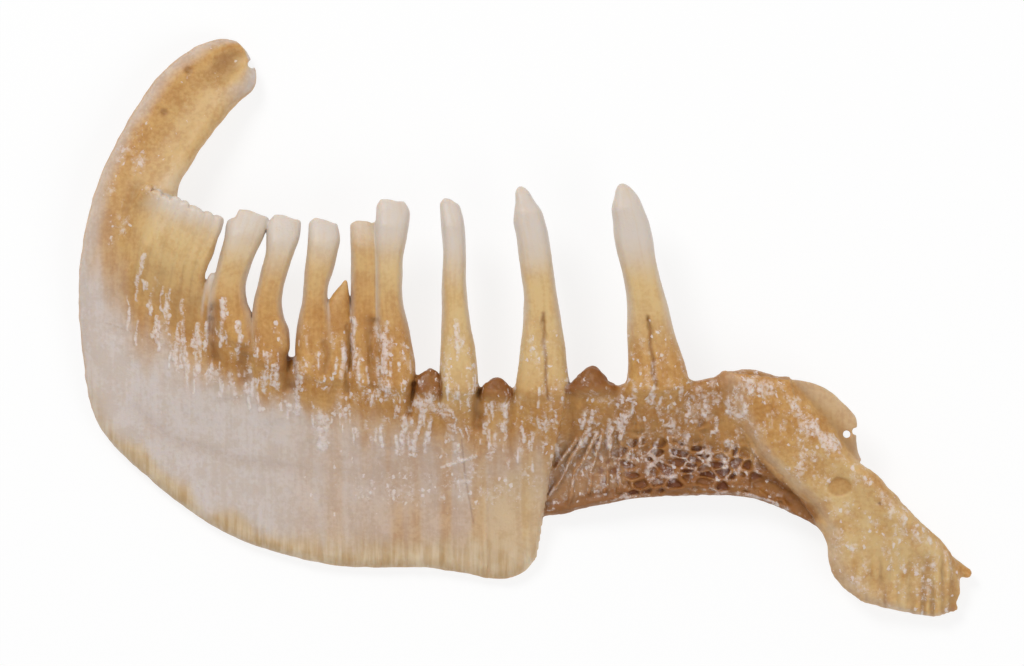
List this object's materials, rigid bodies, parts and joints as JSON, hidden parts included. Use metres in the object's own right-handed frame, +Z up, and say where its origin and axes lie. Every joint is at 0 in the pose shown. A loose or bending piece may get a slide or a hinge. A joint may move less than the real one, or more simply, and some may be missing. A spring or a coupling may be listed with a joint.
{
  "type": "fish pharyngeal bone with teeth",
  "caption": "Dried sucker-fish pharyngeal arch lying flat: curved horn, broad thin wing, comb of slender teeth on the ridge, pitted shaft and a foot-like process.",
  "frame": {"origin": "middle of the bone's box in plan, on the floor that it lies on", "axes": "+X along the tooth row from the comb towards the process, +Y towards the tooth tips, +Z up"},
  "size_m": [0.0448, 0.029, 0.005],
  "materials": {
    "bone_amber": "satin, amber translucent dry bone",
    "tooth": "satin, cream crowns on yellow shanks",
    "bone_pale": "satin, pale translucent dry bone",
    "bone_brown": "matte, brown spongy bone"
  },
  "bodies": {
    "root": {"dorsal_limb": "bone_amber", "tooth_ridge": "tooth", "lateral_wing": "bone_pale", "ventral_limb": "bone_brown", "symphysial_process": "bone_amber"}
  },
  "joints": []
}
